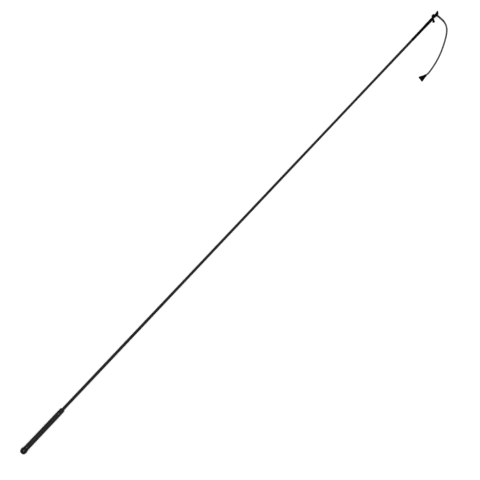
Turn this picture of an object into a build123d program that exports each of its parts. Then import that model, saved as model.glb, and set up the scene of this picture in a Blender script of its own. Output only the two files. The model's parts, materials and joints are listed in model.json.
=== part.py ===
from build123d import *
import math
import os

# A long schooling whip with a short lash, lying on a floor. Millimetres.
# +X runs along the shaft from the butt to the tip, the lash lies on the -Y side, and z = 0 is the floor.
# The pieces of the whip are drawn about the shaft's axis, with x measured from the butt, and then laid down.
# The pieces of the lash are drawn where they lie, from the eye to the tassel.

# ---- driving dimensions ----
butt_to_origin = 755.0        # the origin is below the middle of the whole whip

knob_radius = 8.05
knob_widest_x = 8.2
butt_flat_radius = 4.0
cap_length = 17.6
cap_neck_radius = 6.35

grip_start = 17.8
grip_end = 138.0
grip_radius = 6.1
grip_taper_end = 60.0         # from here to its front edge the grip is a true cylinder
grip_edge = 0.5
collar_start = 138.6
collar_end = 149.0
collar_radius = 6.0
collar_nose = 1.6
tape_start = 22.0
tape_end = 134.0
tape_thickness = 0.25

rod_start = 6.6
rod_end = 1440.0
rod_butt_radius = 2.5
rod_tip_radius = 1.55
fit_gap = 0.02                # between coaxial pieces that are glued or bound together

loop_cord_radius = 0.8
loop_leg_start = 1442.0
loop_leg_offset = 0.85
loop_bore_radius = 1.7
loop_neck_x = 1487.0
loop_shoulder_x = 1494.2
loop_half_height = 2.1
loop_bend = 6.0
loop_corner = 1.2
hinge_x = 1499.3              # the upright bar of the tip loop, which the lash's eye goes round
hinge_y = -1.6
loop_channel_gap = 0.03

knot_centre = (1491.6, 2.0, 0.0)
knot_radii = (4.3, 4.6, 4.3)
knot_band_start = 1482.5
knot_band_end = 1488.0
knot_band_radius = 2.7
knot_cord_radius = 1.4
knot_turns_x = (1483.9, 1486.6)
knot_turn_radius = 1.8
short_tail_start = (1486.0, -0.5, -0.4)
short_tail_end = (1481.2, -10.7, -2.5)
short_tail_start_radius = 1.5
short_tail_end_radius = 1.8
long_tail_start = (1492.5, -0.6, 2.6)
long_tail_bend = (1499.2, -2.3, 5.0)
long_tail_end = (1509.4, 2.9, 5.1)
long_tail_start_radius = 1.5
long_tail_bend_radius = 2.25
long_tail_end_radius = 0.5

eye_ring_radius = 2.2
eye_cord_radius = 0.9
eye_height = 4.3
eye_neck_radius = 1.2
eye_neck_length = 1.0
lash_radius = 1.425
throat_radius = 2.1
throat_length = 3.5
splice_radius = 1.95
splice_start = 3.7
splice_end = 24.0
wound_gap = 0.03              # between the lash cord and what is wound round it

binding_length = 4.6
binding_half_width = 2.8
binding_half_height = 2.15
tassel_neck_radius = 1.5
tassel_skirt_gap = 0.15

# Outer radius of the braided cover, as (x, radius). The thread binding pulls it in at the tip.
braid_profile = [
    (rod_start, 3.45),
    (330.0, 3.3),
    (700.0, 2.85),
    (1130.0, 2.57),
    (1300.0, 2.6),
    (1405.0, 2.68),
    (1412.5, 2.35),
    (1482.0, 2.3),
]
# Outer radius of the thread binding: one layer, and a second layer over its last part.
whipping_profile = [
    (1410.5, 2.7),
    (1412.5, 2.78),
    (1458.0, 2.9),
    (1460.5, 3.15),
    (1482.2, 3.2),
]
# Sections of the tassel's skirt: distance from the binding's back, half width, half height, height of the centre.
tassel_sections = [
    (binding_length + tassel_skirt_gap, 2.5, 1.95, 2.2),
    (11.0, 4.2, 2.3, 2.35),
    (17.9, 6.6, 2.5, 2.55),
]

# Route of the lash in the part's frame, from the eye to the tassel's binding.
lash_route = [
    (744.4, -4.9, 4.3),
    (744.8, -13.0, 3.7),
    (745.3, -27.3, 2.4),
    (738.6, -42.6, 1.6),
    (723.2, -54.5, 1.45),
    (702.0, -65.5, 1.45),
    (677.0, -75.9, 1.45),
    (653.0, -82.2, 1.45),
    (636.0, -84.8, 1.6),
    (625.0, -86.2, 2.15),
    (617.6, -84.9, 2.2),
]

tilt = math.degrees(math.asin((knob_radius - knot_radii[2]) / (knot_centre[0] - knob_widest_x)))
butt_axis_height = knob_radius + knob_widest_x * math.sin(math.radians(tilt))


def profile_radius(profile, x):
    """The radius at x of an outline of (x, radius) points."""
    for (x0, r0), (x1, r1) in zip(profile, profile[1:]):
        if x0 <= x <= x1:
            return r0 + (r1 - r0) * (x - x0) / (x1 - x0)
    raise ValueError(f"{x} lies outside the outline")


def over_braid(x, gap):
    """A point of an outline that stands a gap outside the braided cover."""
    return (x, profile_radius(braid_profile, x) + gap)


def turned(outer, inner):
    """A body turned about the shaft's axis, between an outer and an inner outline."""
    outline = Polyline(*outer, *reversed(inner), close=True)
    return revolve(make_face(outline), axis=Axis.X)


def laid_down(body):
    """Moves a piece from the shaft's axis to where the whip rests, on its knob and its tip knot."""
    return Pos(-butt_to_origin, 0, butt_axis_height) * Rot(0, tilt, 0) * body


def swept(path, section):
    return sweep(Plane(origin=path @ 0, z_dir=path % 0) * section, path=path)


def tapered(start, end, start_radius, end_radius):
    """A round tapered bar between two points."""
    along = Vector(*end) - Vector(*start)
    bar = Cone(start_radius, end_radius, along.length, align=(Align.CENTER, Align.CENTER, Align.MIN))
    return Plane(origin=start, z_dir=along) * bar


# ---- the whip ----


def core_rod():
    surface = [(rod_start, rod_butt_radius), (rod_end, rod_tip_radius)]
    return turned(surface, [(rod_start, 0), (rod_end, 0)])


def shaft_braid():
    bore = [
        (rod_start, rod_butt_radius + fit_gap),
        (rod_end, rod_tip_radius + fit_gap),
        (rod_end + 1, loop_bore_radius),
        (braid_profile[-1][0], loop_bore_radius),
    ]
    return turned(braid_profile, bore)


def grip_tape():
    inner = [over_braid(tape_start, fit_gap), over_braid(tape_end, fit_gap)]
    outer = [over_braid(tape_start, tape_thickness), over_braid(tape_end, tape_thickness)]
    return turned(outer, inner)


def grip_sleeve():
    bore_gap = tape_thickness + fit_gap
    outer = [
        (grip_start, cap_neck_radius - grip_edge),
        (grip_start + grip_edge, cap_neck_radius),
        (grip_taper_end, grip_radius),
        (grip_end - grip_edge, grip_radius),
        (grip_end, grip_radius - grip_edge),
    ]
    return turned(outer, [over_braid(grip_start, bore_gap), over_braid(grip_end, bore_gap)])


def grip_collar():
    outer = [
        (collar_start, collar_radius - grip_edge),
        (collar_start + grip_edge, collar_radius),
        (collar_end - collar_nose, collar_radius),
        (collar_end - 0.4 * collar_nose, collar_radius - 0.4 * collar_nose),
        (collar_end, collar_radius - collar_nose),
    ]
    return turned(outer, [over_braid(collar_start, fit_gap), over_braid(collar_end, fit_gap)])


def butt_cap():
    socket_x = rod_start - fit_gap
    socket_radius = braid_profile[0][1] + fit_gap
    dome = Spline(
        (0, butt_flat_radius),
        (3.2, 6.9),
        (knob_widest_x, knob_radius),
        (14.0, 7.05),
        (cap_length, cap_neck_radius),
        tangents=[(0.1, 1), (1, -0.1)],
    )
    rest = Polyline(
        (cap_length, cap_neck_radius),
        (cap_length, socket_radius),
        (socket_x, socket_radius),
        (socket_x, 0),
        (0, 0),
        (0, butt_flat_radius),
    )
    return revolve(make_face(dome + rest), axis=Axis.X)


def tip_whipping():
    pulled_in_x = braid_profile[-2][0]
    inner = [
        over_braid(whipping_profile[0][0], fit_gap),
        over_braid(pulled_in_x, fit_gap),
        (whipping_profile[-1][0], braid_profile[-1][1] + fit_gap),
    ]
    return turned(whipping_profile, inner)


def tip_loop(cord_radius=loop_cord_radius):
    """Two legs in the braid's bore, and a bight round an upright bar that leans towards the lash."""
    shoulder_y = hinge_y * (loop_shoulder_x - loop_neck_x) / (hinge_x - loop_neck_x)
    leg = [
        (loop_leg_start, 0, loop_leg_offset),
        (loop_neck_x, 0, loop_leg_offset),
        (loop_shoulder_x, shoulder_y, loop_half_height),
        (hinge_x, hinge_y, loop_half_height),
    ]
    other_leg = [(x, y, -z) for x, y, z in reversed(leg)]
    bends = [loop_bend, loop_bend, loop_corner, loop_corner, loop_bend, loop_bend]
    return swept(FilletPolyline(*leg, *other_leg, radius=bends), Circle(cord_radius))


def tip_knot():
    """A knotted cord round the loop's neck: two turns, the lump of the knot and its two cut ends."""
    band = turned(
        [(knot_band_start, knot_band_radius), (knot_band_end, knot_band_radius)],
        [(knot_band_start, 0), (knot_band_end, 0)],
    )
    turns = [Pos(x, 0, 0) * Rot(0, 90, 0) * Torus(knot_turn_radius, knot_cord_radius) for x in knot_turns_x]
    lump = Pos(*knot_centre) * scale(Sphere(1), by=knot_radii)
    short_tail = tapered(short_tail_start, short_tail_end, short_tail_start_radius, short_tail_end_radius)
    long_tail = (
        tapered(long_tail_start, long_tail_bend, long_tail_start_radius, long_tail_bend_radius)
        + Pos(*long_tail_bend) * Sphere(long_tail_bend_radius)
        + tapered(long_tail_bend, long_tail_end, long_tail_bend_radius, long_tail_end_radius)
    )
    knot = band + turns + lump + short_tail + long_tail
    return knot - tip_loop(loop_cord_radius + loop_channel_gap)


# ---- the lash ----


def lash_path():
    """Straight runs joined by tangent arcs, each as large as its two runs allow."""
    points = [Vector(*p) for p in lash_route]
    radii = []
    for before, corner, after in zip(points, points[1:], points[2:]):
        run_in = corner - before
        run_out = after - corner
        half_turn = math.radians(run_in.get_angle(run_out)) / 2
        radii.append(0.45 * min(run_in.length, run_out.length) / math.tan(half_turn))
    print("lash radii:", [round(r) for r in radii])
    return FilletPolyline(*points, radius=radii)


def lash_cord(path):
    cord = swept(path, Circle(lash_radius))
    print("lash length:", round(path.length, 1), "section times length:", round(path.length * math.pi * lash_radius**2))
    return cord


def wound_sleeve(path, start, end, outer_radius):
    """A sleeve round the lash cord, from one distance along it to another."""
    stretch = path.trim(start / path.length, end / path.length)
    return swept(stretch, Circle(outer_radius) - Circle(lash_radius + wound_gap))


def lash_eye(path):
    """A flat ring round the loop's bar, with a neck that meets the end of the lash cord."""
    ring = Pos(hinge_x - butt_to_origin, hinge_y, eye_height) * Torus(eye_ring_radius, eye_cord_radius)
    neck = Cylinder(eye_neck_radius, eye_neck_length, align=(Align.CENTER, Align.CENTER, Align.MAX))
    return ring + Plane(origin=path @ 0, z_dir=path % 0) * neck


def tassel_plane(path, distance, height):
    """A plane across the tassel, a distance beyond the end of the lash cord."""
    heading = Vector((path % 1).X, (path % 1).Y, 0).normalized()
    centre = path @ 1 + heading * distance
    across = heading.cross(Vector(0, 0, 1))
    return Plane(origin=(centre.X, centre.Y, height), x_dir=across, z_dir=heading)


def tassel_binding(path):
    ring = Ellipse(binding_half_width, binding_half_height) - Circle(tassel_neck_radius + wound_gap)
    return extrude(tassel_plane(path, 0, (path @ 1).Z) * ring, binding_length)


def tassel(path):
    neck_end = tassel_sections[0][0]
    neck = extrude(tassel_plane(path, wound_gap, (path @ 1).Z) * Circle(tassel_neck_radius), neck_end)
    skirt = loft([
        tassel_plane(path, distance, height) * Ellipse(half_width, half_height)
        for distance, half_width, half_height, height in tassel_sections
    ])
    return neck + skirt


def main():
    whip_pieces = [
        core_rod,
        shaft_braid,
        grip_tape,
        grip_sleeve,
        grip_collar,
        butt_cap,
        tip_whipping,
        tip_loop,
        tip_knot,
    ]
    nodes = {piece.__name__: laid_down(piece()) for piece in whip_pieces}
    path = lash_path()
    nodes["lash_eye"] = lash_eye(path)
    nodes["throat_whipping"] = wound_sleeve(path, 0, throat_length, throat_radius)
    nodes["lash_splice"] = wound_sleeve(path, splice_start, splice_end, splice_radius)
    nodes["lash_cord"] = lash_cord(path)
    nodes["tassel_binding"] = tassel_binding(path)
    nodes["tassel"] = tassel(path)
    os.makedirs("parts", exist_ok=True)
    for name, body in nodes.items():
        export_step(body, f"parts/{name}.step")


main()
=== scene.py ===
import bisect
import json
import math
import random

import bpy
from mathutils import Matrix, Vector, noise


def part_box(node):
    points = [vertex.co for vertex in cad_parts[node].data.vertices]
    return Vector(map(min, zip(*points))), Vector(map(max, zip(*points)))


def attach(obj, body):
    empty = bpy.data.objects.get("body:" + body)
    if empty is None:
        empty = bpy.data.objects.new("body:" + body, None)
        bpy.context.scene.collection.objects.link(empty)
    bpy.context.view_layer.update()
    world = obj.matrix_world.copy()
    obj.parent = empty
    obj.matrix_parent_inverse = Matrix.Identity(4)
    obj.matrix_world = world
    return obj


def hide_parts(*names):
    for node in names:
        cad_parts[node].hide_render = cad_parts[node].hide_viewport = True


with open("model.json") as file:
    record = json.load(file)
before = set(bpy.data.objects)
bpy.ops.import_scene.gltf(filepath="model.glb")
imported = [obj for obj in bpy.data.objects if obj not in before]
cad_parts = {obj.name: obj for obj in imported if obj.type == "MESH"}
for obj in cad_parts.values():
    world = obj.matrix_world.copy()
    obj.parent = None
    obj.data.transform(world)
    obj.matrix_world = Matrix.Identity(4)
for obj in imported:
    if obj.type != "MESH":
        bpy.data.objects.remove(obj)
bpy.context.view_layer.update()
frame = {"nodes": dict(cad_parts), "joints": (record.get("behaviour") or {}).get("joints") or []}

# A long schooling whip with a short tasselled lash, lying on a pale floor and seen from straight
# above. The whip's pieces are made in millimetres about the shaft's axis, with x measured from the
# butt, and the lash's pieces are made in metres along its own line. Both end up in the frame of the
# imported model.

MM = 0.001
TURN = 2 * math.pi
random.seed(7)

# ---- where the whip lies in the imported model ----
KNOB_WIDEST_X = 8.2
HINGE_X = 1499.3
hinge = Vector(frame["joints"][0]["pos_m"])
cap_low, cap_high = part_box("butt_cap")
knob_height = (cap_low.z + cap_high.z) / 2
TILT = math.asin((knob_height - hinge.z) / ((HINGE_X - KNOB_WIDEST_X) * MM))
BUTT = Vector((
    hinge.x - HINGE_X * MM * math.cos(TILT), 0, knob_height + KNOB_WIDEST_X * MM * math.sin(TILT),
))
WHIP = Matrix.Translation(BUTT) @ Matrix.Rotation(TILT, 4, "Y") @ Matrix.Scale(MM, 4)

# ---- camera ----
LENS = 200.0
SENSOR = 36.0
CLIP_END = 200.0
VIEW_WIDTH = 1.1915
VIEW_TURN = math.radians(-46.6)
VIEW_CENTRE = Vector((0.0023, -0.0305, knob_height))

camera_data = bpy.data.cameras.new("camera")
camera_data.lens = LENS
camera_data.sensor_width = SENSOR
camera_data.clip_end = CLIP_END
camera = bpy.data.objects.new("camera", camera_data)
camera.location = VIEW_CENTRE + Vector((0, 0, VIEW_WIDTH * LENS / SENSOR))
camera.rotation_euler = (0, 0, VIEW_TURN)
bpy.context.scene.collection.objects.link(camera)
bpy.context.scene.camera = camera


# ---- lines that the cords and windings follow ----


class Line:
    """Points joined into a curve, with a frame at every distance along it that doesn't twist."""

    def __init__(self, points, side=(0, 0, 1)):
        self.points = [Vector(p) for p in points]
        self.marks = [0.0]
        for a, b in zip(self.points, self.points[1:]):
            self.marks.append(self.marks[-1] + (b - a).length)
        self.length = self.marks[-1]
        last = len(self.points) - 1
        self.tangents = [
            (self.points[min(i + 1, last)] - self.points[max(i - 1, 0)]).normalized()
            for i in range(last + 1)
        ]
        normal = Vector(side)
        self.normals = []
        for tangent in self.tangents:
            normal = (normal - tangent * normal.dot(tangent)).normalized()
            self.normals.append(normal)

    def frame(self, distance):
        """The centre, normal, binormal and tangent at a distance from the start."""
        i = min(max(bisect.bisect_right(self.marks, distance) - 1, 0), len(self.points) - 2)
        share = (distance - self.marks[i]) / (self.marks[i + 1] - self.marks[i])
        centre = self.points[i].lerp(self.points[i + 1], share)
        share = min(max(share, 0.0), 1.0)
        tangent = self.tangents[i].lerp(self.tangents[i + 1], share).normalized()
        normal = self.normals[i].lerp(self.normals[i + 1], share)
        normal = (normal - tangent * normal.dot(tangent)).normalized()
        return centre, normal, tangent.cross(normal), tangent

    def around(self, distance, angle, radius):
        centre, normal, binormal, _ = self.frame(distance)
        return centre + (normal * math.cos(angle) + binormal * math.sin(angle)) * radius


def spline_points(control_points, resolution):
    """Points of the quadratic NURBS spline with these control points."""
    data = bpy.data.curves.new("spline", "CURVE")
    data.dimensions = "3D"
    spline = data.splines.new("NURBS")
    spline.points.add(len(control_points) - 1)
    for point, place in zip(spline.points, control_points):
        point.co = (*place, 1.0)
    spline.order_u = 3
    spline.use_endpoint_u = True
    spline.resolution_u = resolution
    curve = bpy.data.objects.new("spline", data)
    bpy.context.scene.collection.objects.link(curve)
    bpy.context.view_layer.update()
    mesh = bpy.data.meshes.new_from_object(curve)
    points = [v.co.copy() for v in mesh.vertices]
    bpy.data.objects.remove(curve)
    bpy.data.meshes.remove(mesh)
    return points


# The lash's route, as in the CAD model, in metres.
LASH_ROUTE = [
    (0.7444, -0.0049, 0.0043),
    (0.7448, -0.0130, 0.0037),
    (0.7453, -0.0273, 0.0024),
    (0.7386, -0.0426, 0.0016),
    (0.7232, -0.0545, 0.00145),
    (0.7020, -0.0655, 0.00145),
    (0.6770, -0.0759, 0.00145),
    (0.6530, -0.0822, 0.00145),
    (0.6360, -0.0848, 0.0016),
    (0.6250, -0.0862, 0.00215),
    (0.6176, -0.0849, 0.0022),
]
LASH_RADIUS = 1.425 * MM
LASH_STEPS = 24
SHAFT_LENGTH = 1500

shaft_line = Line([(0, 0, 0), (SHAFT_LENGTH, 0, 0)])
lash_line = Line(spline_points(LASH_ROUTE, LASH_STEPS))


# ---- mesh making ----

TURNED_SHARP = 35
PAD_SHARP = 17
BRAID_SHARP = 80
TUBE_END = 0.5
DOME = 0.3
CROWN_POWER = 0.6
CROWN_AT_EDGE = 0.45
WOBBLE = 0.012
WOBBLE_RATE = 0.13


class Skin:
    """Points and faces of one piece, with a UV point for each corner and a tone for each face."""

    def __init__(self):
        self.points = []
        self.faces = []
        self.uvs = []
        self.tones = []

    def face(self, corners, uvs, tone=0.5):
        self.faces.append(corners)
        self.uvs.extend(uvs)
        self.tones.append(tone)

    def ring(self, points):
        first = len(self.points)
        self.points.extend(points)
        return list(range(first, len(self.points)))

    def bridge(self, low, high, v_low=0.0, v_high=1.0, tone=0.5):
        """Faces from one ring to the next; a ring of one point is a pole."""
        count = max(len(low), len(high))
        for k in range(count):
            a, b = low[k % len(low)], low[(k + 1) % len(low)]
            c, d = high[(k + 1) % len(high)], high[k % len(high)]
            left, right = k / count, (k + 1) / count
            if len(low) == 1:
                self.face((a, c, d), ((left, v_low), (right, v_high), (left, v_high)), tone)
            elif len(high) == 1:
                self.face((a, b, c), ((left, v_low), (right, v_low), (left, v_high)), tone)
            else:
                uvs = ((left, v_low), (right, v_low), (right, v_high), (left, v_high))
                self.face((a, b, c, d), uvs, tone)

    def piece(self, name, body, slot, material, replaced, matrix=None, sharp=50):
        """The finished object, riding on its body and standing for CAD nodes. sharp is an angle."""
        mesh = bpy.data.meshes.new(name)
        mesh.from_pydata([tuple(p) for p in self.points], [], self.faces)
        if matrix:
            mesh.transform(matrix)
        layer = mesh.uv_layers.new(name="UVMap")
        layer.data.foreach_set("uv", [number for uv in self.uvs for number in uv])
        tone = mesh.attributes.new("tone", "FLOAT", "FACE")
        tone.data.foreach_set("value", self.tones)
        mesh.shade_smooth()
        mesh.set_sharp_from_angle(angle=math.radians(sharp))
        mesh.materials.append(material)
        mesh.validate()
        piece = bpy.data.objects.new(name, mesh)
        bpy.context.scene.collection.objects.link(piece)
        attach(piece, body)
        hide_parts(*replaced)
        return piece


def turned(skin, line, outline, around, squash=1.0):
    """A closed surface turned about a line, from an outline of (distance, radius).

    A radius of 0 is a pole. squash is the height as a share of the width.
    """
    rings = []
    for distance, radius in outline:
        centre, normal, binormal, _ = line.frame(distance)
        if radius == 0:
            rings.append(skin.ring([centre]))
            continue
        angles = [TURN * k / around for k in range(around)]
        rings.append(skin.ring([
            centre + (normal * math.cos(a) * squash + binormal * math.sin(a)) * radius
            for a in angles
        ]))
    for low, high, (x_low, _), (x_high, _) in zip(rings, rings[1:], outline, outline[1:]):
        skin.bridge(low, high, x_low, x_high)
    if len(rings[0]) > 1:
        skin.bridge(rings[-1], rings[0], outline[-1][0], outline[0][0])


def tube(skin, line, radius, sides, steps, tone=0.5):
    """A round bar along a whole line. radius is a number, or a function of the share of the way."""
    size = radius if callable(radius) else (lambda share: radius)
    low = None
    for i in range(steps + 1):
        share = i / steps
        v = line.length * share
        centre, normal, binormal, tangent = line.frame(v)
        r = size(share)
        angles = [TURN * k / sides for k in range(sides)]
        ring = skin.ring([
            centre + (normal * math.cos(a) + binormal * math.sin(a)) * r for a in angles
        ])
        if low is None:
            pole = skin.ring([centre - tangent * r * TUBE_END])
            skin.bridge(pole, ring, v, v, tone)
        else:
            skin.bridge(low, ring, v_low, v, tone)
        low, v_low = ring, v
    pole = skin.ring([centre + tangent * r * TUBE_END])
    skin.bridge(low, pole, v, v, tone)


def weave_corner(p, q, i, j, steps):
    """Across and along the strand that is on top in cell (i, j), for the lattice point (p, q)."""
    across_a, across_b, phase = p / steps - i, q / steps - j, (i + j) % 4
    if phase < 2:
        return across_a, (phase + across_b) / 2
    return across_b, (phase - 2 + across_a) / 2


def weave_height(p, q, steps):
    """How high a braid of strands over two and under two stands at a lattice point, from 0 to 1."""
    best = 0.0
    for i in {p // steps, -(-p // steps) - 1}:
        for j in {q // steps, -(-q // steps) - 1}:
            across, along = weave_corner(p, q, i, j, steps)
            crown = max(math.sin(math.pi * across), 0.0) ** CROWN_POWER
            arch = max(math.sin(math.pi * along), 0.0)
            best = max(best, crown * (CROWN_AT_EDGE + (1 - CROWN_AT_EDGE) * arch))
    return best


def pad_corner(p, q, i, j, steps):
    """Across and along the pad in cell (i, j), for the lattice point (p, q)."""
    return p / steps - i, q / steps - j


def pad_height(p, q, steps):
    """How high a grip of raised diamond pads stands at a lattice point."""
    return 0.0 if p % steps == 0 or q % steps == 0 else 1.0


def lattice(skin, line, start, end, radius, cells, pick, steps, relief, height=weave_height,
            corner=weave_corner, uv_scale=(1.0, 1.0), squash=None):
    """A round skin on a lattice of diamonds. Returns its end rings.

    There are cells diamonds of each hand around, each pick long, with steps by steps faces. The low
    places lie relief below radius. radius and squash are functions of the distance.
    """
    around = cells * steps
    levels = max(2, round((end - start) / (pick / (2 * steps))))
    tones = [random.random() for _ in range(2 * cells)]
    period = 4 * steps
    heights = {(p, q): height(p, q, steps) for p in range(period) for q in range(period)}
    first = len(skin.points)
    for level in range(levels + 1):
        share = level / levels
        distance = start + (end - start) * share
        centre, normal, binormal, _ = line.frame(distance)
        r = radius(distance)
        flat = squash(distance) if squash else 1.0
        fade = min(1.0, level / steps, (levels - level) / steps)
        for c in range(around):
            m = 2 * c + level % 2
            h = heights[((m + level) // 2) % period, ((m - level) // 2) % period]
            angle = math.pi * m / around
            reach = r - relief * (1 - h * fade)
            out = normal * math.cos(angle) * flat + binormal * math.sin(angle)
            skin.points.append(centre + out * reach)

    def index(level, c):
        return first + level * around + c % around

    for level in range(1, levels):
        for c in range(around):
            odd = level % 2
            big_p = (2 * c + odd + level) // 2
            big_q = (2 * c + odd - level) // 2
            i, j = big_p // steps, big_q // steps
            corners = (
                index(level, c), index(level - 1, c + odd), index(level, c + 1),
                index(level + 1, c + odd),
            )
            uvs = []
            for right, up in ((0, 0), (0, 1), (1, 1), (1, 0)):
                u, v = corner(big_p + right, big_q + up, i, j, steps)
                uvs.append((u * uv_scale[0], v * uv_scale[1]))
            on_top = i % cells if (i + j) % 4 < 2 else cells + j % cells
            skin.face(corners, uvs, tones[on_top])
    blank_uvs = ((0, 0), (0, 0), (0, 0))
    odd = levels % 2
    for c in range(around):
        skin.face((index(0, c), index(0, c + 1), index(1, c)), blank_uvs)
        skin.face((index(levels - 1, c + odd), index(levels, c + 1), index(levels, c)), blank_uvs)
    return [index(0, c) for c in range(around)], [index(levels, c) for c in range(around)]


def closed_lattice(skin, line, start, end, radius, *shape, **more):
    """A lattice with a low dome on each end."""
    low, high = lattice(skin, line, start, end, radius, *shape, **more)
    for ring, distance, way in ((low, start, -1), (high, end, 1)):
        centre, _, _, tangent = line.frame(distance)
        pole = skin.ring([centre + tangent * way * radius(distance) * DOME])
        skin.bridge(pole, ring) if way < 0 else skin.bridge(ring, pole)


def winding(line, start, end, radius, pitch, per_turn, squash=1.0):
    """The line of a thread wound round another line. radius is a function of the distance."""
    turns = (end - start) / pitch
    count = max(2, round(turns * per_turn))
    points = []
    for i in range(count + 1):
        distance = start + (end - start) * i / count
        angle = TURN * turns * i / count
        centre, normal, binormal, _ = line.frame(distance)
        wobble = 1 + WOBBLE * noise.noise(Vector((i * WOBBLE_RATE, turns, pitch)))
        out = normal * math.cos(angle) * squash + binormal * math.sin(angle)
        points.append(centre + out * radius(distance) * wobble)
    return Line(points)


def outline_radius(outline, x):
    """The radius at x of an outline of (x, radius) points."""
    if x <= outline[0][0]:
        return outline[0][1]
    for (x0, r0), (x1, r1) in zip(outline, outline[1:]):
        if x <= x1:
            return r0 + (r1 - r0) * (x - x0) / (x1 - x0)
    return outline[-1][1]


# ---- materials ----

FIBRE_SCALE = 5200.0
PATCH_SCALE = 260.0
YARN_ROUGHNESS = (0.52, 0.74)
RIDGE_SHARE = 0.7
FILAMENT_HEIGHT = 0.00004
MARK_SCALE = 90.0
GRAIN_SCALE = 2600.0
EDGE_START = 0.5
EDGE_END = 0.56
EDGE_WEAR = 0.12
ROUGHNESS_BELOW = 0.07
ROUGHNESS_ABOVE = 0.08
ROD_SCALE = (8.0, 2400.0, 2400.0)
TAPE_SCALE = 700.0


class Nodes:
    """A material's node tree, with short ways to add to it."""

    def __init__(self, name):
        self.material = bpy.data.materials.new(name)
        self.material.use_nodes = True
        self.tree = self.material.node_tree
        self.shader = self.tree.nodes["Principled BSDF"]

    def add(self, kind, inputs=(), **settings):
        node = self.tree.nodes.new(kind)
        for key, value in settings.items():
            setattr(node, key, value)
        for key, value in dict(inputs).items():
            if isinstance(value, bpy.types.NodeSocket):
                self.tree.links.new(value, node.inputs[key])
            else:
                node.inputs[key].default_value = value
        return node

    def maths(self, operation, a, b=0.0):
        return self.add("ShaderNodeMath", {0: a, 1: b}, operation=operation).outputs[0]

    def blend(self, factor, a, b):
        mix = self.add("ShaderNodeMix", data_type="RGBA")
        for socket, value in zip((mix.inputs[0], mix.inputs[6], mix.inputs[7]), (factor, a, b)):
            if isinstance(value, bpy.types.NodeSocket):
                self.tree.links.new(value, socket)
            else:
                socket.default_value = value
        return mix.outputs[2]

    def ranged(self, value, **ends):
        """A value taken from one range to another. The ends are from_min, to_max and so on."""
        inputs = {"Value": value}
        for key, end in ends.items():
            inputs[key.replace("_", " ").title()] = end
        return self.add("ShaderNodeMapRange", inputs).outputs["Result"]

    def cloud(self, scale, detail, low=0.35, high=0.65):
        """Noise in the object's own space, stretched to run from 0 to 1."""
        place = self.add("ShaderNodeTexCoord").outputs["Object"]
        cloud = self.add("ShaderNodeTexNoise", {"Vector": place, "Scale": scale, "Detail": detail})
        return self.ranged(cloud.outputs["Fac"], from_min=low, from_max=high)

    def finish(self, colour, roughness, height, distance, **constants):
        """Links what varies, and sets what doesn't on the shader itself."""
        self.tree.links.new(colour, self.shader.inputs["Base Color"])
        self.tree.links.new(roughness, self.shader.inputs["Roughness"])
        bump = self.add("ShaderNodeBump", {"Height": height, "Distance": distance, "Strength": 1.0})
        self.tree.links.new(bump.outputs["Normal"], self.shader.inputs["Normal"])
        for key, value in constants.items():
            self.shader.inputs[key.replace("_", " ")].default_value = value
        return self.material


def tint(red, green, blue):
    return (red, green, blue, 1.0)


BLACK = tint(0.0, 0.0, 0.0)
WHITE = tint(1.0, 1.0, 1.0)
WORN_TINT = tint(0.10, 0.10, 0.10)


def yarn(name, dark, light, plies, slant, specular=0.25, sheen=0.1):
    """Spun or braided yarn: plies along each strand, with fine fibres, a tone for each strand, and
    painted shade that darkens the grooves between the plies.

    plies is their number across a strand, and slant is how far they lean along it.
    """
    n = Nodes(name)
    uv = n.add("ShaderNodeUVMap", uv_map="UVMap").outputs["UV"]
    split = n.add("ShaderNodeSeparateXYZ", {"Vector": uv})
    across = n.maths("MULTIPLY", split.outputs["X"], plies)
    along = n.maths("MULTIPLY", split.outputs["Y"], slant)
    wave = n.maths("SINE", n.maths("MULTIPLY", n.maths("ADD", across, along), TURN))
    ridge = n.maths("MULTIPLY_ADD", wave, 0.5)
    ridge.node.inputs[2].default_value = 0.5
    fibre = n.cloud(FIBRE_SCALE, 2.0)
    patch = n.cloud(PATCH_SCALE, 4.0)
    tone = n.add("ShaderNodeAttribute", attribute_name="tone").outputs["Fac"]
    shade = n.maths("MULTIPLY", n.maths("ADD", tone, patch), 0.5)
    base = n.blend(shade, dark, light)
    # Painted shade: the grooves between the plies are darkened towards black, by up to half.
    depth = n.maths("MULTIPLY", n.maths("SUBTRACT", 1.0, ridge), 0.5)
    colour = n.blend(depth, base, BLACK)
    roughness = n.ranged(fibre, to_min=YARN_ROUGHNESS[0], to_max=YARN_ROUGHNESS[1])
    ridges = n.maths("MULTIPLY", ridge, RIDGE_SHARE)
    height = n.maths("ADD", ridges, n.maths("MULTIPLY", fibre, 1 - RIDGE_SHARE))
    return n.finish(
        colour, roughness, height, FILAMENT_HEIGHT,
        Specular_IOR_Level=specular, Sheen_Weight=sheen, Sheen_Roughness=0.5,
    )


def rubber(name, dark, light, rough, specular, grain):
    """Moulded rubber: a fine grain, cloudy handling marks, and paler raised edges."""
    n = Nodes(name)
    marks = n.cloud(MARK_SCALE, 5.0, 0.3, 0.7)
    grain_cloud = n.cloud(GRAIN_SCALE, 2.0)
    edge = n.add("ShaderNodeNewGeometry").outputs["Pointiness"]
    raised = n.ranged(edge, from_min=EDGE_START, from_max=EDGE_END, to_max=EDGE_WEAR)
    base = n.blend(marks, dark, light)
    colour = n.blend(raised, base, WORN_TINT)
    roughness = n.ranged(marks, to_min=rough - ROUGHNESS_BELOW, to_max=rough + ROUGHNESS_ABOVE)
    return n.finish(colour, roughness, grain_cloud, grain, Specular_IOR_Level=specular)


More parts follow.
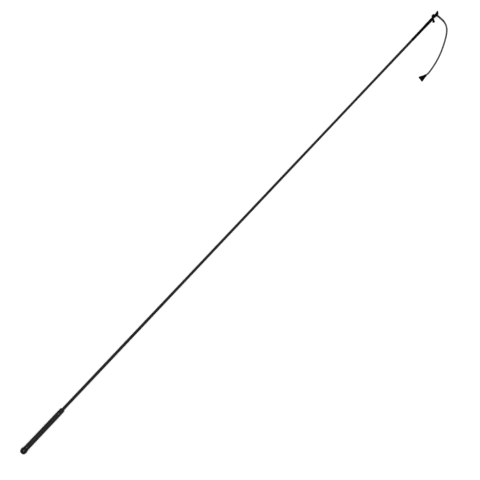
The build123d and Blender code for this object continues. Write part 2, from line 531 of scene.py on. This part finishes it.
def fibreglass():
    """Pultruded rod: resin with fine fibres that run along it."""
    n = Nodes("fibreglass_rod")
    place = n.add("ShaderNodeTexCoord").outputs["Object"]
    stretched = n.add("ShaderNodeMapping", {"Vector": place, "Scale": ROD_SCALE}).outputs["Vector"]
    noise_node = n.add("ShaderNodeTexNoise", {"Vector": stretched, "Scale": 1.0, "Detail": 3.0})
    fibres = noise_node.outputs["Fac"]
    colour = n.blend(fibres, tint(0.50, 0.48, 0.38), tint(0.70, 0.68, 0.58))
    roughness = n.ranged(fibres, to_min=0.25, to_max=0.45)
    return n.finish(colour, roughness, fibres, 0.00002, Coat_Weight=0.3)


def cloth_tape():
    """Woven mounting tape, wound on a slant."""
    n = Nodes("mounting_tape")
    place = n.add("ShaderNodeTexCoord").outputs["Object"]
    wave = {"Vector": place, "Scale": TAPE_SCALE, "Distortion": 0.6}
    warp = n.add("ShaderNodeTexWave", wave, bands_direction="X")
    weft = n.add("ShaderNodeTexWave", wave, bands_direction="Y")
    weave = n.maths("MULTIPLY", warp.outputs["Fac"], weft.outputs["Fac"])
    colour = n.blend(weave, tint(0.35, 0.31, 0.24), tint(0.62, 0.56, 0.45))
    roughness = n.ranged(weave, to_min=0.7, to_max=0.9)
    return n.finish(colour, roughness, weave, 0.00008)


cover_yarn = yarn(
    "braided_nylon", tint(0.040, 0.040, 0.0402), tint(0.084, 0.084, 0.0845),
    plies=5.0, slant=0.6, specular=0.2, sheen=0.05,
)
thread_yarn = yarn(
    "binding_thread", tint(0.005, 0.005, 0.005), tint(0.012, 0.012, 0.012),
    plies=3.0, slant=1.6, specular=0.1, sheen=0.0,
)
knot_yarn = yarn(
    "knot_cord", tint(0.005, 0.005, 0.0055), tint(0.014, 0.014, 0.015),
    plies=4.0, slant=0.8, specular=0.1, sheen=0.0,
)
lash_yarn = yarn(
    "lash_cord", tint(0.132, 0.124, 0.133), tint(0.278, 0.262, 0.280), plies=4.0, slant=0.7,
)
splice_yarn = yarn(
    "splice_cord", tint(0.100, 0.077, 0.104), tint(0.214, 0.167, 0.221), plies=4.0, slant=0.7,
)
lash_thread = yarn(
    "lash_thread", tint(0.085, 0.062, 0.089), tint(0.160, 0.120, 0.166),
    plies=3.0, slant=1.6, sheen=0.05,
)
tassel_yarn = yarn(
    "tassel_yarn", tint(0.009, 0.0078, 0.014), tint(0.026, 0.022, 0.038),
    plies=2.0, slant=1.2, specular=0.1, sheen=0.05,
)
grip_rubber = rubber(
    "grip_rubber", tint(0.017, 0.0176, 0.0180), tint(0.030, 0.0312, 0.0316),
    rough=0.38, specular=0.6, grain=0.000008,
)
cap_rubber = rubber(
    "cap_rubber", tint(0.012, 0.0180, 0.0170), tint(0.022, 0.034, 0.031),
    rough=0.34, specular=0.45, grain=0.00001,
)
collar_rubber = rubber(
    "collar_rubber", tint(0.036, 0.030, 0.027), tint(0.058, 0.049, 0.044),
    rough=0.5, specular=0.28, grain=0.00003,
)


# ---- the handle ----

CAP_OUTLINE = [
    (0.9, 0.0), (0.9, 1.9), (0.55, 2.3), (0.12, 2.7), (0.0, 3.1), (0.02, 3.7), (0.25, 4.4),
    (0.8, 5.1), (1.3, 5.6), (1.8, 6.02), (2.45, 6.47), (3.2, 6.88), (4.0, 7.24), (4.9, 7.56),
    (5.7, 7.78), (6.6, 7.95), (7.4, 8.03), (8.2, 8.05), (9.0, 8.03), (9.8, 7.98), (11.4, 7.75),
    (12.8, 7.42), (14.0, 7.08), (15.2, 6.76), (16.2, 6.52), (16.9, 6.4), (17.3, 6.36),
    (17.55, 6.3), (17.6, 6.15), (17.6, 4.0), (6.6, 4.0), (6.6, 0.0),
]
CAP_AROUND = 96
cap = Skin()
turned(cap, shaft_line, CAP_OUTLINE, CAP_AROUND)
cap.piece("knob_cap", "whip", "handle_rubber", cap_rubber, ["butt_cap"], WHIP, TURNED_SHARP)

GRIP_START = 17.8
GRIP_END = 138.0
GRIP_BORE = 3.62
PAD_START = 21.5
PAD_END = 133.0
PAD_CELLS = 18
PAD_LENGTH = 3.1
PAD_STEPS = 4
PAD_RELIEF = 0.26
PAD_EDGE = 0.15
PAD_UV = (2.0, 3.0)
GRIP_AROUND = PAD_CELLS * PAD_STEPS
GRIP_OUTLINE = [(GRIP_START, 6.35), (60.0, 6.1), (GRIP_END, 6.1)]
# Each end's rounded edge, and the groove behind the front one, as (distance from the end, depth).
BACK_EDGE = [(0.55, 0.0), (0.15, 0.15), (0.0, 0.5)]
FRONT_EDGE = [
    (1.9, 0.0), (1.7, 0.22), (1.3, 0.22), (1.1, 0.0), (0.45, 0.0), (0.12, 0.14), (0.0, 0.45),
]


def grip_radius(x):
    return outline_radius(GRIP_OUTLINE, x)


grip = Skin()
pad_low, pad_high = lattice(
    grip, shaft_line, PAD_START, PAD_END, grip_radius, PAD_CELLS, PAD_LENGTH, PAD_STEPS,
    PAD_RELIEF, pad_height, pad_corner, PAD_UV,
)


def ring_about_shaft(skin, x, radius, around):
    return skin.ring([shaft_line.around(x, TURN * k / around, radius) for k in range(around)])


def grip_ring(x, radius):
    return ring_about_shaft(grip, x, radius, GRIP_AROUND)


back = [grip_ring(PAD_START - PAD_EDGE, grip_radius(PAD_START))]
back += [grip_ring(GRIP_START + x, grip_radius(GRIP_START) - depth) for x, depth in BACK_EDGE]
back.append(grip_ring(GRIP_START, GRIP_BORE))
front = [grip_ring(PAD_END + PAD_EDGE, grip_radius(PAD_END))]
front += [grip_ring(GRIP_END - x, grip_radius(GRIP_END) - depth) for x, depth in FRONT_EDGE]
front.append(grip_ring(GRIP_END, GRIP_BORE))
for near, far in zip([pad_low] + back, back):
    grip.bridge(far, near)
for near, far in zip([pad_high] + front, front):
    grip.bridge(near, far)
grip.bridge(front[-1], back[-1])
grip.piece(
    "rubber_grip", "whip", "handle_rubber", grip_rubber, ["grip_sleeve"], WHIP, PAD_SHARP,
)

COLLAR_OUTLINE = [
    (138.6, 3.48), (138.6, 5.4), (138.7, 5.7), (139.0, 5.87), (141.2, 5.87), (141.4, 5.73),
    (141.7, 5.73), (141.9, 5.87), (146.6, 5.85), (147.5, 5.7), (148.2, 5.35), (148.7, 4.9),
    (148.95, 4.5), (149.0, 4.2), (148.7, 3.8), (148.2, 3.48),
]
COLLAR_AROUND = 80
collar = Skin()
turned(collar, shaft_line, COLLAR_OUTLINE, COLLAR_AROUND)
collar.piece(
    "front_collar", "whip", "collar_rubber", collar_rubber, ["grip_collar"], WHIP, TURNED_SHARP,
)


# ---- the shaft ----

ROD_START = 6.6
ROD_END = 1440.0
COVER_START = 147.6
COVER_END = 1412.5
BRAID_STRANDS = 12
BRAID_PICK = 2.25
BRAID_STEPS = 2
BRAID_RELIEF = 0.22
COVER_UV = (1.0, 2.8)
COVER_AROUND = BRAID_STRANDS * BRAID_STEPS
COVER_PROUD = 0.07
COVER_TIP = 1482.0
COVER_OUTLINE = [
    (ROD_START, 3.45), (330.0, 3.3), (700.0, 2.85), (1130.0, 2.57), (1300.0, 2.6), (1405.0, 2.68),
    (COVER_END, 2.35), (COVER_TIP, 2.3),
]
# The smooth rest of the cover, under the binding and the handle: its tip, its bore and its start.
COVER_INSIDE = [
    (COVER_TIP, 2.3), (COVER_TIP, 1.72), (ROD_END + 1, 1.72), (ROD_END, 1.6), (ROD_START, 2.53),
    (ROD_START, 3.42),
]


def cover_radius(x):
    return outline_radius(COVER_OUTLINE, x) + COVER_PROUD


cover = Skin()
cover_low, cover_high = lattice(
    cover, shaft_line, COVER_START, COVER_END, cover_radius, BRAID_STRANDS, BRAID_PICK, BRAID_STEPS,
    BRAID_RELIEF, uv_scale=COVER_UV,
)
rest_of_cover = [ring_about_shaft(cover, x, radius, COVER_AROUND) for x, radius in COVER_INSIDE]
for near, far in zip([cover_high] + rest_of_cover, rest_of_cover + [cover_low]):
    cover.bridge(near, far)
cover.piece(
    "braided_cover", "whip", "braided_cover", cover_yarn, ["shaft_braid"], WHIP, BRAID_SHARP,
)


# ---- the thread binding at the tip ----

THREAD_RADIUS = 0.25
THREAD_PITCH = 0.46
THREAD_TURN_STEPS = 18
THREAD_SIDES = 6
SLEEVE_AROUND = 24
SLEEVE_DEPTH = 1.3
BINDING_OUTLINE = [(1410.5, 2.75), (1412.5, 2.88), (1458.0, 3.0), (1482.2, 3.02)]
BINDING_BORE = 2.2
BINDING_GRIP = 0.05
SECOND_OUTLINE = [(1458.6, 3.12), (1460.5, 3.26), (1482.2, 3.32)]
SECOND_BORE = 2.4


def wound(skin, line, outline, thread, pitch, per_turn, bore, squash=1.0):
    """A thread wound on a thin sleeve, both inside an outline. bore is a function of distance."""
    start, end = outline[0][0], outline[-1][0]
    thread_line = winding(
        line, start + thread, end - thread, lambda x: outline_radius(outline, x) - thread,
        pitch, per_turn, squash,
    )
    tube(skin, thread_line, thread, THREAD_SIDES, len(thread_line.points) - 1)
    inside = [(x, r - thread * SLEEVE_DEPTH) for x, r in outline]
    inside[0] = (start + thread, inside[0][1])
    inside[-1] = (end - thread, inside[-1][1])
    turned(skin, line, inside + [(x, bore(x)) for x, _ in reversed(inside)], SLEEVE_AROUND, squash)


binding = Skin()
wound(
    binding, shaft_line, BINDING_OUTLINE, THREAD_RADIUS, THREAD_PITCH, THREAD_TURN_STEPS,
    lambda x: max(cover_radius(x) - BINDING_GRIP, BINDING_BORE),
)
wound(
    binding, shaft_line, SECOND_OUTLINE, THREAD_RADIUS, THREAD_PITCH, THREAD_TURN_STEPS,
    lambda x: SECOND_BORE,
)
binding.piece("tip_binding", "whip", "binding_thread", thread_yarn, ["tip_whipping"], WHIP)


# ---- the cord loop and the knot at the tip ----

HINGE_Y = -1.6
LOOP_TOP = [
    (1442.0, 0, 0.85), (1465.0, 0, 0.85), (1487.0, 0, 0.85), (1494.2, -0.94, 2.15),
    (HINGE_X + 0.05, HINGE_Y, 2.15),
]
LOOP_ROUTE = LOOP_TOP + [(x, y, -z) for x, y, z in reversed(LOOP_TOP)]
LOOP_STRANDS = 3
LOOP_STRAND_RADIUS = 0.42
LOOP_LAY_RADIUS = 0.4
LOOP_PITCH = 3.4
LOOP_SIDES = 7
LOOP_STEP = 0.34
ROUTE_STEPS = 16


def twisted(skin, line, strands, strand_radius, lay_radius, pitch, sides, step):
    """Strands twisted together along a line, each in steps of about the same length."""
    count = round(line.length / step)
    marks = [line.length * i / count for i in range(count + 1)]
    for s in range(strands):
        strand = Line([line.around(x, TURN * (x / pitch + s / strands), lay_radius) for x in marks])
        tube(skin, strand, strand_radius, sides, count, tone=random.random())


loop = Skin()
loop_line = Line(spline_points(LOOP_ROUTE, ROUTE_STEPS), (0, 1, 0))
twisted(
    loop, loop_line, LOOP_STRANDS, LOOP_STRAND_RADIUS, LOOP_LAY_RADIUS, LOOP_PITCH, LOOP_SIDES,
    LOOP_STEP,
)
loop.piece("cord_loop", "whip", "knot_cord", knot_yarn, ["tip_loop"], WHIP)

KNOT_CENTRE = Vector((1491.8, 2.1, 0.0))
KNOT_CORD = 1.66
KNOT_BRAID = (4, 2.6, 4, 0.28)
LUMP_RING = 2.2
LUMP_WIDTH = 1.06
LUMP_HEIGHT = 2.6
LUMP_HEADING = 0.5
LUMP_STEPS = 150
CORE_RADIUS = 3
CORE_ANGLES = (0.5, 1.0, 1.57, 2.1, 2.6)
CORE_AROUND = 20
NECK_START = 1483.8
NECK_STEP = 2.9
NECK_RADIUS = 1.55
NECK_TURNS = 2.1
NECK_HEADING = 0.35
CROSSING_START = 0.95
CROSSING_TURN = 0.3
NECK_STEPS = 60


def knot_radius(distance):
    return KNOT_CORD


def lump_point(share):
    """A pulled-tight overhand knot, drawn as a trefoil about an upright axis."""
    t = TURN * share
    ring = LUMP_RING + math.cos(3 * t)
    heading = 2 * t + LUMP_HEADING
    across = LUMP_WIDTH * ring * math.sin(heading)
    return KNOT_CENTRE + Vector((ring * math.cos(heading), across, LUMP_HEIGHT * math.sin(3 * t)))


def neck_point(share):
    """Two turns round the loop's neck, side by side, with the step between them underneath."""
    turn = NECK_TURNS * share
    step = min(max((turn - CROSSING_START) / CROSSING_TURN, 0.0), 1.0)
    angle = TURN * (turn - NECK_HEADING)
    along = NECK_START + NECK_STEP * step * step * (3 - 2 * step)
    return Vector((along, NECK_RADIUS * math.cos(angle), NECK_RADIUS * math.sin(angle)))


knot = Skin()
for place, steps in ((lump_point, LUMP_STEPS), (neck_point, NECK_STEPS)):
    knot_line = Line([place(i / steps) for i in range(steps + 1)], (1, 0, 0))
    closed_lattice(knot, knot_line, 0, knot_line.length, knot_radius, *KNOT_BRAID)
# A plain core closes the gaps in the lump.
core_reach = Vector((CORE_RADIUS, 0, 0))
core_line = Line([KNOT_CENTRE - core_reach, KNOT_CENTRE + core_reach])
core_outline = [
    (CORE_RADIUS - CORE_RADIUS * math.cos(a), CORE_RADIUS * math.sin(a)) for a in CORE_ANGLES
]
turned(knot, core_line, [(0, 0)] + core_outline + [(2 * CORE_RADIUS, 0)], CORE_AROUND)
knot.piece("cord_knot", "whip", "knot_cord", knot_yarn, ["tip_knot"], WHIP)

GOLDEN_ANGLE = 2.399963
STRAND_SIDES = 5
STRAND_STEPS = 8
STRAY_UP = 0.6


def bundle(skin, line, start, end, strands, thickness, spread, taper, seed, cut, stray, floor=None):
    """Loose strands that leave a cord, from start to end along its line.

    spread gives the bundle's half width and half height at a share of the way, and taper a strand's
    radius as a share of thickness. Strands are cut short by up to cut of their length, and wander
    sideways by about stray at their ends.
    """
    rng = random.Random(seed)
    for k in range(strands):
        reach = math.sqrt((k + 0.5) / strands)
        angle = k * GOLDEN_ANGLE
        last = end - (end - start) * cut * rng.random()
        lean = (rng.uniform(-1, 1), rng.uniform(-1, 1))
        phase = rng.uniform(0, 40)
        points = []
        for i in range(STRAND_STEPS + 1):
            share = i / STRAND_STEPS
            centre, normal, binormal, _ = line.frame(start + (last - start) * share)
            wide, high = spread(share)
            bend = (
                lean[0] + noise.noise(Vector((phase, share * 3, 0))),
                lean[1] + noise.noise(Vector((phase, 0, share * 3))),
            )
            across = reach * math.cos(angle) * wide + stray * share * bend[0]
            up = reach * math.sin(angle) * high + stray * share * STRAY_UP * bend[1]
            point = centre + binormal * across + normal * up
            if floor is not None:
                point.z = max(point.z, floor)
            points.append(point)
        tube(
            skin, Line(points), lambda share: thickness * taper(share), STRAND_SIDES, STRAND_STEPS,
            tone=rng.random(),
        )


SHORT_TAIL = [(1486.8, 0.6, -0.2), (1485.2, -2.6, -1.0), (1483.1, -5.8, -1.7), (1480.8, -9.1, -2.2)]
SHORT_BRAID_END = 0.72
SHORT_BUNDLE_START = 0.55
short_tail = Skin()
short_line = Line(spline_points(SHORT_TAIL, ROUTE_STEPS))
closed_lattice(
    short_tail, short_line, 0, short_line.length * SHORT_BRAID_END, lambda x: 1.85 + 0.05 * x,
    *KNOT_BRAID,
)
bundle(
    short_tail, short_line, short_line.length * SHORT_BUNDLE_START, short_line.length,
    strands=110, thickness=0.22, spread=lambda s: (1.9 + 0.75 * s, 1.6 + 0.2 * s),
    taper=lambda s: 1 - 0.25 * s, seed=11, cut=0.16, stray=0.3,
)
short_tail.piece("knot_short_tail", "whip", "knot_cord", knot_yarn, ["tip_knot"], WHIP)

LONG_TAIL = [
    (1491.5, 0.2, 2.0), (1495.8, -0.9, 4.4), (1499.6, -0.7, 5.3), (1503.4, 1.3, 5.3),
    (1507.6, 4.2, 5.1),
]
LONG_TAIL_WIDTH = [(0.0, 2.2), (0.1, 2.9), (0.25, 3.45), (0.45, 3.15), (0.7, 2.3), (1.0, 0.55)]
LONG_TAIL_FLATNESS = 0.75
LONG_BRAID_END = 0.4
LONG_BUNDLE_START = 0.24


def long_tail_spread(share):
    wide = outline_radius(LONG_TAIL_WIDTH, share)
    return wide, LONG_TAIL_FLATNESS * wide


long_tail = Skin()
long_line = Line(spline_points(LONG_TAIL, ROUTE_STEPS))
closed_lattice(
    long_tail, long_line, 0, long_line.length * LONG_BRAID_END,
    lambda x: 2.0 + 0.8 * min(x / 5.0, 1.0), *KNOT_BRAID,
)
bundle(
    long_tail, long_line, long_line.length * LONG_BUNDLE_START, long_line.length,
    strands=170, thickness=0.27, spread=long_tail_spread,
    taper=lambda s: 1 - 0.35 * s, seed=12, cut=0.22, stray=0.1,
)
long_tail.piece("knot_long_tail", "whip", "knot_cord", knot_yarn, ["tip_knot"], WHIP)


# ---- the lash ----

LASH_PROUD = 0.5 * MM
LASH_FLAT = 0.74
LASH_START = 1.5 * MM
LASH_BRAID = (4, 2.3 * MM, 4, 0.28 * MM)
SPLICE_START = 3.45 * MM
SPLICE_END = 24.0 * MM
SPLICE_RADIUS = 2.15 * MM
SPLICE_THINNING = 0.35 * MM
THINNING_START = 0.8
THINNING_POWER = 1.5
SPLICE_BRAID = (6, 2.4 * MM, 3, 0.3 * MM)
OPENING_START = SPLICE_END - 4 * MM
OPENING_LENGTH = 5 * MM
LASH_UV = (1.0, 2.4)


def lash_reach(distance):
    """How far the cord has opened from round, under its splice, to oval, beyond it: from 0 to 1."""
    return min(max((distance - OPENING_START) / OPENING_LENGTH, 0.0), 1.0)


def lash_radius(distance):
    return LASH_RADIUS + LASH_PROUD * lash_reach(distance)


def lash_squash(distance):
    return 1 + (LASH_FLAT - 1) * lash_reach(distance)


lash = Skin()
closed_lattice(
    lash, lash_line, LASH_START, lash_line.length, lash_radius, *LASH_BRAID,
    uv_scale=LASH_UV, squash=lash_squash,
)
lash_piece = lash.piece("lash", "lash", "lash_yarn", lash_yarn, ["lash_cord"])

# The eye runs from its throat round the hinge and back, in millimetres from the hinge.
EYE_RING = 2.2
EYE_LEG = [(6.2, 0.75), (4.4, 0.8), (2.6, 1.6)]
EYE_OPENING = 48
EYE_RING_STEPS = 24
EYE_ROUTE_STEPS = 6
EYE_CORD = 0.88 * MM
EYE_BRAID = (4, 1.5 * MM, 3, 0.16 * MM)
eye_heading = (lash_line.points[0] - hinge).normalized()
eye_side = eye_heading.cross(Vector((0, 0, 1)))


def eye_point(along, across):
    return hinge + (eye_heading * along + eye_side * across) * MM


def eye_radius(distance):
    return EYE_CORD


eye_route = [eye_point(along, across) for along, across in EYE_LEG]
for k in range(EYE_RING_STEPS + 1):
    angle = math.radians(EYE_OPENING + (360 - 2 * EYE_OPENING) * k / EYE_RING_STEPS)
    out = eye_heading * math.cos(angle) + eye_side * math.sin(angle)
    eye_route.append(hinge + out * EYE_RING * MM)
eye_route += [eye_point(along, -across) for along, across in reversed(EYE_LEG)]
eye = Skin()
eye_line = Line(spline_points(eye_route, EYE_ROUTE_STEPS))
closed_lattice(eye, eye_line, 0, eye_line.length, eye_radius, *EYE_BRAID)
eye_piece = eye.piece("lash_eye_loop", "lash", "lash_yarn", splice_yarn, ["lash_eye"])

THROAT_OUTLINE = [(0.0, 1.8 * MM), (0.4 * MM, 2.1 * MM), (3.1 * MM, 2.1 * MM), (3.5 * MM, 1.9 * MM)]
THROAT_THREAD = 0.21 * MM
THROAT_PITCH = 0.4 * MM
THROAT_TURN_STEPS = 20
THROAT_BORE = 1.3 * MM
throat = Skin()
wound(
    throat, lash_line, THROAT_OUTLINE, THROAT_THREAD, THROAT_PITCH, THROAT_TURN_STEPS,
    lambda x: THROAT_BORE,
)
throat_piece = throat.piece(
    "throat_binding", "lash", "lash_yarn", lash_thread, ["throat_whipping"],
)


def splice_radius(distance):
    """The splice thins over its last fifth."""
    share = (distance - SPLICE_START) / (SPLICE_END - SPLICE_START)
    thinning = max(0.0, (share - THINNING_START) / (1 - THINNING_START))
    return SPLICE_RADIUS - SPLICE_THINNING * thinning**THINNING_POWER


splice = Skin()
closed_lattice(
    splice, lash_line, SPLICE_START, SPLICE_END, splice_radius, *SPLICE_BRAID, uv_scale=LASH_UV,
)
splice_piece = splice.piece("splice_cover", "lash", "lash_yarn", splice_yarn, ["lash_splice"])


# ---- the tassel ----

# Distance from the lash's end, half width, half height, and height of the middle above the floor.
TASSEL_SECTIONS = [(4.75, 2.5, 1.95, 2.2), (11.0, 4.2, 2.3, 2.35), (17.9, 6.6, 2.5, 2.55)]
TASSEL_NECK = (1.9, 1.6)
TASSEL_START = 1.0
TASSEL_LENGTH = 17.0
TASSEL_STRANDS = 220
TASSEL_STRAND = 0.27 * MM
TASSEL_WIDER = 0.45
TASSEL_LOWER = 0.3
TASSEL_FLOOR = 0.32 * MM
TASSEL_BINDING = [
    (0.0, 2.1 * MM), (0.5 * MM, 2.6 * MM), (1.4 * MM, 2.8 * MM), (3.6 * MM, 2.8 * MM),
    (4.6 * MM, 2.45 * MM),
]
TASSEL_THREAD = 0.24 * MM
TASSEL_PITCH = 0.44 * MM
TASSEL_TURN_STEPS = 24
TASSEL_BORE = 1.45 * MM
TASSEL_FLATNESS = 0.77
tassel_heights = [(0, 2.2)] + [(x, z) for x, _, _, z in TASSEL_SECTIONS] + [(21.0, 2.6)]
lash_end = lash_line.points[-1]
tassel_heading = lash_line.tangents[-1].copy()
tassel_heading.z = 0
tassel_heading.normalize()
tassel_line = Line([
    Vector((lash_end.x, lash_end.y, 0)) + tassel_heading * x * MM + Vector((0, 0, z * MM))
    for x, z in tassel_heights
])

tassel_binding = Skin()
wound(
    tassel_binding, tassel_line, TASSEL_BINDING, TASSEL_THREAD, TASSEL_PITCH, TASSEL_TURN_STEPS,
    lambda x: TASSEL_BORE, TASSEL_FLATNESS,
)
binding_piece = tassel_binding.piece(
    "tassel_binding_thread", "lash", "binding_thread", thread_yarn, ["tassel_binding"],
)


def tassel_spread(share):
    """Half the width and half the height over the strands' middles."""
    x = TASSEL_START + TASSEL_LENGTH * share
    wide = outline_radius([(0, TASSEL_NECK[0])] + [(d, w) for d, w, _, _ in TASSEL_SECTIONS], x)
    high = outline_radius([(0, TASSEL_NECK[1])] + [(d, h) for d, _, h, _ in TASSEL_SECTIONS], x)
    return (wide + TASSEL_WIDER) * MM, (high - TASSEL_LOWER) * MM


def tassel_taper(share):
    """The strands thicken along the tassel, and thin again over their last fifth."""
    return 0.75 + 0.45 * share - 0.35 * max(0.0, share - 0.8) / 0.2


tassel = Skin()
bundle(
    tassel, tassel_line, TASSEL_START * MM, (TASSEL_START + TASSEL_LENGTH) * MM,
    strands=TASSEL_STRANDS, thickness=TASSEL_STRAND, spread=tassel_spread, taper=tassel_taper,
    seed=21, cut=0.07, stray=0.5 * MM, floor=TASSEL_FLOOR,
)
tassel_piece = tassel.piece("tassel_strands", "lash", "tassel_yarn", tassel_yarn, ["tassel"])


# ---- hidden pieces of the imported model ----

for node, material in (("core_rod", fibreglass()), ("grip_tape", cloth_tape())):
    slots = frame["nodes"][node].data.materials
    slots.clear()
    slots.append(material)


# ---- floor and light ----

FLOOR_SIZE = 400.0
SUN_STRENGTH = 2.62
SUN_ANGLE = math.radians(26)
WORLD_STRENGTH = 0.36
FLOOR_TINT = tint(0.9, 0.9, 0.9)
FLOOR_ROUGHNESS = 0.9
# The photo's thin lines are darker than plain averaging makes them, which this gamma brings back.
VIEW_GAMMA = 0.62

floor_mesh = bpy.data.meshes.new("floor")
half = FLOOR_SIZE / 2
floor_corners = [(-half, -half, 0), (half, -half, 0), (half, half, 0), (-half, half, 0)]
floor_mesh.from_pydata(floor_corners, [], [(0, 1, 2, 3)])
floor = bpy.data.objects.new("floor", floor_mesh)
bpy.context.scene.collection.objects.link(floor)
floor_nodes = Nodes("pale_floor")
floor_nodes.shader.inputs["Base Color"].default_value = FLOOR_TINT
floor_nodes.shader.inputs["Roughness"].default_value = FLOOR_ROUGHNESS
floor_nodes.shader.inputs["Specular IOR Level"].default_value = 0.0
floor_mesh.materials.append(floor_nodes.material)

sun_data = bpy.data.lights.new("soft_overhead", "SUN")
sun_data.energy = SUN_STRENGTH
sun_data.angle = SUN_ANGLE
sun = bpy.data.objects.new("soft_overhead", sun_data)
bpy.context.scene.collection.objects.link(sun)

# The sky is plain white to the camera, and lights the whip less than it looks.
world = bpy.data.worlds.new("studio")
world.use_nodes = True
bpy.context.scene.world = world
background = world.node_tree.nodes["Background"]
seen = world.node_tree.nodes.new("ShaderNodeLightPath")
strength = world.node_tree.nodes.new("ShaderNodeMapRange")
strength.inputs["To Min"].default_value = WORLD_STRENGTH
strength.inputs["To Max"].default_value = 1.0
world.node_tree.links.new(seen.outputs["Is Camera Ray"], strength.inputs["Value"])
world.node_tree.links.new(strength.outputs["Result"], background.inputs["Strength"])
background.inputs["Color"].default_value = WHITE
bpy.context.scene.view_settings.view_transform = "Standard"
bpy.context.scene.view_settings.gamma = VIEW_GAMMA
